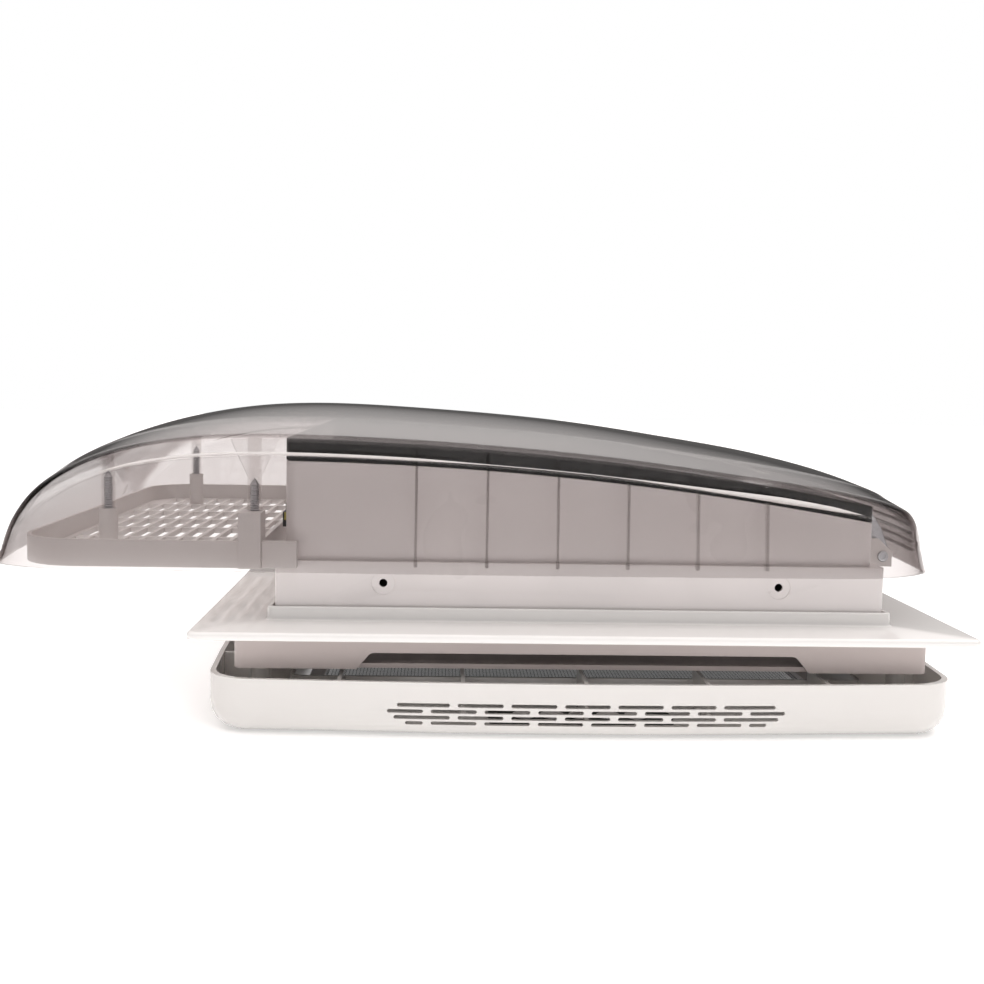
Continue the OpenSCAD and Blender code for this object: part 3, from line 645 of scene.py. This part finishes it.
# %% Clamp lugs of the flange
def bored_block(cx, cy, half, z_low, z_high, hole, round_mm=3.0, edge=0.6, count=48):
    """A rounded square block with a round hole: eight loops of points, up the hole and down the outside."""
    a = 2 * np.pi * np.arange(count) / count
    ray = np.stack([np.cos(a), np.sin(a)], -1)
    flat_side = half - round_mm
    square = np.clip(ray * 1.5 * half, -flat_side, flat_side)
    corner = ray * 1.5 * half - square
    corner /= np.linalg.norm(corner, axis=1, keepdims=True) + 1e-9
    loops = []
    for r, grow, z in ((hole + edge, None, z_low), (hole, None, z_low + edge), (hole, None, z_high - edge),
                       (hole + edge, None, z_high), (None, -edge, z_high), (None, 0, z_high - edge),
                       (None, 0, z_low + edge), (None, -edge, z_low)):
        xy = ray * r if grow is None else square + corner * (round_mm + grow)
        loops.append(np.concatenate([xy + [cx, cy], np.full((count, 1), z)], 1))
    return np.concatenate(loops), grid_quads(8, count, True, True)


LUG_AT = 180  # mm from the middle, both ways
lugs = joined("flange_lugs",
              [bored_block(x, y, 10, -6, 3.2, 2.1) for x in (-LUG_AT, LUG_AT) for y in (-LUG_AT, LUG_AT)],
              "polished_white_asa", "vent", smooth=True)
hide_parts("roof_flange")
print("lugs:", len(lugs.data.polygons), "faces")

# %% [markdown]
# ## The air box
# A thin-walled box whose top edge follows a long arc, so that the lid closes on it along its whole
# length. It could be cut from a block, but carrying the wall's section round a square and then lifting
# its points keeps the faces even.


# %% Air box
BOX_FOOT, BOX_TOP, BOX_ARC = 42, 105, 2210


def arc_height(x, high, radius, level_at=-200.0):
    """Height of a long arc that is level at level_at: the top of a circle of that radius."""
    return high - radius + np.sqrt(radius**2 - (x - level_at) ** 2)


def follow_arc(x, z):
    """Stretches each height above the foot so that the top edge lies on the arc."""
    top_here = arc_height(x, BOX_TOP, BOX_ARC)
    lifted = BOX_FOOT + (z - BOX_FOOT) * (top_here - BOX_FOOT) / (BOX_TOP - BOX_FOOT)
    return np.where(z > BOX_FOOT, lifted, z)


box = ring_piece("air_box_wall",
                 [(187.5, BOX_FOOT), (187.5, BOX_TOP), (190, BOX_TOP), (190, BOX_FOOT)],
                 [0, 0.8, 0.8, 0.2], ([187.5, 190], [5.5, 8]), "white_abs", "vent", side=60,
                 lift=follow_arc)
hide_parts("air_box")
print("air box faces:", len(box.data.polygons))

# %% [markdown]
# ## Softened copies of the CAD
# Injection moulds have no razor edges. The other mouldings keep their exact CAD shape, and a copy gets a
# small radius on each edge so that it catches the light.

# %% Softened mouldings
for node, material, radius in (
        ("base_frame", "white_abs", 0.8), ("ceiling_frame", "warm_grey_abs", 0.7),
        ("trim", "glossy_white_abs", 0.5),
        ("outlet_grille", "satin_white_abs", 0.4), ("grille_tabs", "satin_white_abs", 0.5),
        ("grille_columns", "satin_white_abs", 0.5), ("hinge_bracket_near", "satin_white_abs", 0.5),
        ("hinge_bracket_far", "satin_white_abs", 0.5), ("inner_lid", "polished_black_abs", 1.0),
        ("control_panel", "black_abs", 0.5), ("screen_frame", "satin_white_abs", 0.8),
        ("hinge_arms", "zinc_plated_steel", 0.4), ("lid_switch", "switch_grey_nylon", 0.5),
        ("fan_blades", "black_abs", 0.5), ("fan_spider", "black_abs", 0.6)):
    o = softened(node, material, radius)
    print(node, len(o.data.polygons), "faces before rounding")

# %% [markdown]
# ## The other CAD parts
# Small, hidden or exact parts are shown as they are, with their real finish.

# %% Finishes
finishes = {
    "zinc_plated_steel": ["unit_screws", "spider_screws", "motor_bracket", "fan_shaft", "fan_clip",
                          "lift_shaft", "lift_arm_near", "lift_arm_far", "pinion_shaft",
                          "clamp_screws", "trim_screws", "screen_pins"],
    "seal_rubber": ["collar_seal", "lid_gasket"],
    "black_painted_steel": ["fan_motor", "lift_motor"],
    "natural_nylon": ["sector_gear", "lift_pinion", "shaft_bearings", "lift_track_near", "lift_track_far"],
    "black_abs": ["arm_sliders"],
    "red_filter_acrylic": ["infrared_window"],
    "satin_white_abs": ["button_power", "button_fan_less", "button_fan_more", "button_lid_open",
                        "button_lid_close"],
    "clear_acrylic": ["dome_posts"],
}
for material, nodes in finishes.items():
    for node in nodes:
        cad(node, material)
print(sum(map(len, finishes.values())), "CAD nodes finished")

# %% [markdown]
# ## Hinge pins, tray screws, insect mesh and a label
# The hinge turns on two short steel pins with a small headed end and a ring groove: a profile turned
# about the hinge line. The tray's screws are turned in the same way, with a zigzag profile that reads
# as a thread. A true helix would cost far more faces and look the same at this size. The insect mesh is
# woven from nylon threads. Real ones are 1 mm apart; here they are 2.5 mm apart, because finer ones
# would blur to a grey film. The lid switch carries a plain yellow sticker.


# %% Hinge pins
def turned(profile, cx, cz, side, count=32):
    """Turns a closed run of (radius, distance along Y) about the line x = cx, z = cz."""
    a = 2 * np.pi * np.arange(count) / count
    r, y = np.array(profile, float).T[:, :, None]
    ring = np.stack([cx + r * np.cos(a), side * y + 0 * a, cz + r * np.sin(a)], -1)
    return ring.reshape(-1, 3), grid_quads(len(profile), count, loop_cols=True)


pin_lo, pin_hi = (np.array(c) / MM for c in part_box("hinge_pins"))
pin_x, pin_z = (pin_lo + pin_hi)[[0, 2]] / 2
PIN = [(0.01, 142), (2.6, 142), (3, 142.5), (3, 150.6), (2.4, 150.8), (2.4, 151.4), (3, 151.6),
       (3, 153.2), (3.6, 153.3), (3.7, 153.8), (3.3, 154.3), (1.6, 154.3), (1.4, 153.9), (0.01, 153.9)]
pins = joined("turned_hinge_pins", [turned(PIN, pin_x, pin_z, side) for side in (-1, 1)],
              "zinc_plated_steel", "vent", smooth=True)
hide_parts("hinge_pins")
print("pins at x, z:", round(pin_x, 1), round(pin_z, 1))


# %% Grille screws
def thread_profile(z_low, z_high, root=2.4, crest=3.0, pitch=1.6):
    """A pan head, then a zigzag between root and crest radius, two points for each pitch, then a point."""
    z = np.arange(z_low + 2.6, z_high - 3, pitch / 2)
    r = np.where(np.arange(len(z)) % 2, crest, root)
    head = [(0.01, z_low), (3.8, z_low), (4.1, z_low + 0.6), (4.1, z_low + 1.8), (3.4, z_low + 2.4)]
    return head + list(zip(r, z)) + [(0.01, z_high)]


foot, top = (corner.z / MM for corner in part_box("grille_screws"))
screw_parts = []
for x, y in ((-209, 190), (-311, 150)):
    for side in (-1, 1):
        ring, quads = turned(thread_profile(foot, top), 0, 0, 1, 24)
        screw_parts.append((ring[:, [0, 2, 1]] + [x, side * y, 0], quads))
screws = joined("threaded_grille_screws", screw_parts, "zinc_plated_steel", "lid", smooth=True)
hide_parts("grille_screws")
print("screws:", len(screws.data.polygons), "faces")


# %% Woven mesh
def threads(half, pitch, radius, z, lift, along_x):
    """Straight four-sided threads, one every pitch; the two families lie lift above and below the middle."""
    at = np.arange(-half + pitch / 2, half, pitch)
    length = np.array([-half, half])
    c = np.array([[-1, 0], [0, 1], [1, 0], [0, -1]]) * radius
    points = np.zeros((len(at), 2, 4, 3))
    points[..., 0 if along_x else 1] = length[None, :, None]
    points[..., 1 if along_x else 0] = at[:, None, None] + c[None, None, :, 0]
    points[..., 2] = z + lift + c[None, None, :, 1]
    one = np.array([[0, 1, 5, 4], [1, 2, 6, 5], [2, 3, 7, 6], [3, 0, 4, 7], [3, 2, 1, 0], [4, 5, 6, 7]])
    starts = 8 * np.arange(len(at))[:, None, None]
    return points.reshape(-1, 3), (one[None] + starts).reshape(-1, 4)


net_lo, net_hi = (np.array(c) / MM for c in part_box("screen_mesh"))
THREAD_PITCH, THREAD_R, WEAVE = 2.5, 0.17, 0.13
net_z = (net_lo[2] + net_hi[2]) / 2
net = joined("woven_mesh", [threads(net_hi[0], THREAD_PITCH, THREAD_R, net_z, lift, lift > 0)
                            for lift in (-WEAVE, WEAVE)], "switch_grey_nylon", "screen")
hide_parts("screen_mesh")
print("threads:", len(net.data.polygons) // 6)

# %% Label on the switch
switch_lo, switch_hi = (np.array(c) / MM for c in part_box("lid_switch"))
label = joined("switch_label", [bored_block(0, 0, 2.6, 0, 0.3, 0.5, round_mm=0.6, edge=0.05)],
               "yellow_paper_label", "vent", smooth=True)
turn = np.array([[1, 0, 0], [0, 0, -1], [0, 1, 0]])
place = np.empty(len(label.data.vertices) * 3)
label.data.vertices.foreach_get("co", place)
label_at = np.array([switch_lo[0] + 3.6, switch_lo[1], switch_hi[2] - 8.8])
place = place.reshape(-1, 3) @ turn.T + label_at * MM
label.data.vertices.foreach_set("co", place.ravel())
print("label:", len(label.data.polygons), "faces")

# %% [markdown]
# ## Backdrop
# A glossy, see-through lid shows its surroundings twice: as a mirror and as a window. A plain white world
# would wash both out. So the world has three answers. The camera sees white. Reflections and bounced
# light see a gradient, dark in front and bright above and behind. A ray that has passed through acrylic
# sees white at about half strength, which makes the lid look smokier than its material alone does.

# %% Backdrop
BEHIND_AND_ABOVE = (0.0, 0.342, 0.94)  # the direction in which the gradient brightens
studio = bpy.data.worlds.new("studio")
bpy.context.scene.world = studio
studio.use_nodes = True
studio.node_tree.nodes.clear()
sky = add(studio, "ShaderNodeTexCoord")
lean = add(studio, "ShaderNodeVectorMath", {"operation": "DOT_PRODUCT", 1: BEHIND_AND_ABOVE},
           {0: (sky, "Generated")})
ramp = add(studio, "ShaderNodeValToRGB", {}, {"Fac": (lean, "Value")})
dark, bright = ramp.color_ramp.elements
dark.position = 0.4
dark.color = (0.12, 0.115, 0.113, 1)
bright.position = 0.84
bright.color = (1.95, 1.86, 1.825, 1)
room = add(studio, "ShaderNodeBackground", {}, {"Color": (ramp, "Color")})
backdrop = add(studio, "ShaderNodeBackground", {"Color": (1, 1, 1, 1)})
ray = add(studio, "ShaderNodeLightPath")
dim = add(studio, "ShaderNodeBackground", {"Color": (0.55, 0.53, 0.525, 1)})
through = add(studio, "ShaderNodeMath", {"operation": "GREATER_THAN", 1: 0.5},
              {0: (ray, "Transparent Depth")})
behind = add(studio, "ShaderNodeMixShader", {},
             {0: (through, "Value"), 1: (backdrop, "Background"), 2: (dim, "Background")})
both = add(studio, "ShaderNodeMixShader", {},
           {0: (ray, "Is Camera Ray"), 1: (room, "Background"), 2: (behind, "Shader")})
add(studio, "ShaderNodeOutputWorld", {}, {"Surface": (both, "Shader")})
print("backdrop ready")

# %% [markdown]
# ## Floor
# A pale matt plane lies a hair below the part. It glows a little, which softens the contact shadow. It is
# clear from below, by the Backfacing output, so that a view from underneath still shows the room side.

# %% Floor
FLOOR_HALF, FLOOR_GAP_MM = 6, 0.1
floor_mesh = bpy.data.meshes.new("floor")
low = cad_box[0].z - FLOOR_GAP_MM * MM
corners = [(-1, -1), (1, -1), (1, 1), (-1, 1)]
floor_mesh.from_pydata([(x * FLOOR_HALF, y * FLOOR_HALF, low) for x, y in corners], [], [(0, 1, 2, 3)])
floor = bpy.data.objects.new("floor", floor_mesh)
bpy.context.scene.collection.objects.link(floor)
floor_paint, out, where = empty_material("floor_paint")
tone = add(floor_paint, "ShaderNodeTexNoise", {"Scale": 2.0}, {"Vector": (where, "Object")})
pale = add(floor_paint, "ShaderNodeMix", {"data_type": "RGBA", 6: colour("#FFFFFF"), 7: colour("#FCFCFC")},
           {"Factor": (tone, "Fac")})
paint = add(floor_paint, "ShaderNodeBsdfPrincipled",
            {"Roughness": 0.9, "Specular IOR Level": 0.1, "Emission Color": (1, 1, 1, 1),
             "Emission Strength": 0.25}, {"Base Color": (pale, 2)})
face = add(floor_paint, "ShaderNodeNewGeometry")
open_side = add(floor_paint, "ShaderNodeBsdfTransparent")
one_sided = add(floor_paint, "ShaderNodeMixShader", {},
                {0: (face, "Backfacing"), 1: (paint, "BSDF"), 2: (open_side, "BSDF")})
floor_paint.node_tree.links.new(one_sided.outputs["Shader"], out.inputs["Surface"])
floor_mesh.materials.append(floor_paint)
print("floor at z:", round(low / MM, 2), "mm")

# %% [markdown]
# ## Lights
# Three large square lights: a weak one overhead, one low in front, and the main one high in front. All
# three are hidden from reflections, because a square highlight on the lid would look like a window.


# %% Lights
MIDDLE = (-0.05, 0, 0)


def soft_light(name, place, target, size, power):
    """A square area light of that size in metres, turned to face the target."""
    data = bpy.data.lights.new(name, "AREA")
    data.shape = "SQUARE"
    data.size = size
    data.energy = power
    lamp = bpy.data.objects.new(name, data)
    lamp.location = place
    lamp.rotation_euler = (Vector(target) - Vector(place)).to_track_quat("-Z", "Y").to_euler()
    lamp.visible_glossy = False
    bpy.context.scene.collection.objects.link(lamp)


soft_light("overhead", (-0.15, 0.1, 1.5), MIDDLE, 0.9, 3)
soft_light("front_low", (-0.3, -2.2, 0.35), MIDDLE, 1.2, 3.5)
soft_light("front_high", (0.2, -1.5, 1.6), MIDDLE, 0.9, 9)
print("lights ready")

# %% [markdown]
# ## Camera
# The camera stands about a metre in front and looks along +Y, a little to the right and a little down.
# Its axes are built from three angles: yaw and pitch give the way ahead, and roll then turns the other
# two axes about it. One matrix holds them, so nothing depends on the order of rotations.

# %% Camera
FILM_MM = 36.0
FOCAL_SHARE = 1254.9 / 984  # focal length over the picture's width
camera_data = bpy.data.cameras.new("camera")
camera_data.sensor_width = FILM_MM
camera_data.lens = FOCAL_SHARE * FILM_MM
camera_data.clip_start = 0.01
camera_data.clip_end = 100
camera = bpy.data.objects.new("camera", camera_data)
yaw, pitch, roll = (math.radians(a) for a in (2.4, 5.15, 1.09))
right = Vector((math.cos(yaw), -math.sin(yaw), 0))
level = math.cos(pitch)
ahead = Vector((math.sin(yaw) * level, math.cos(yaw) * level, -math.sin(pitch)))
above = right.cross(ahead)
across = right * math.cos(roll) + above * math.sin(roll)
above = above * math.cos(roll) - right * math.sin(roll)
camera.matrix_world = Matrix((across, above, -ahead)).transposed().to_4x4()
camera.location = Vector((-92.1, -986.2, 158.9)) * MM
bpy.context.scene.collection.objects.link(camera)
bpy.context.scene.camera = camera
bpy.context.scene.view_settings.view_transform = "Standard"
print("camera at:", [round(v, 3) for v in camera.location])
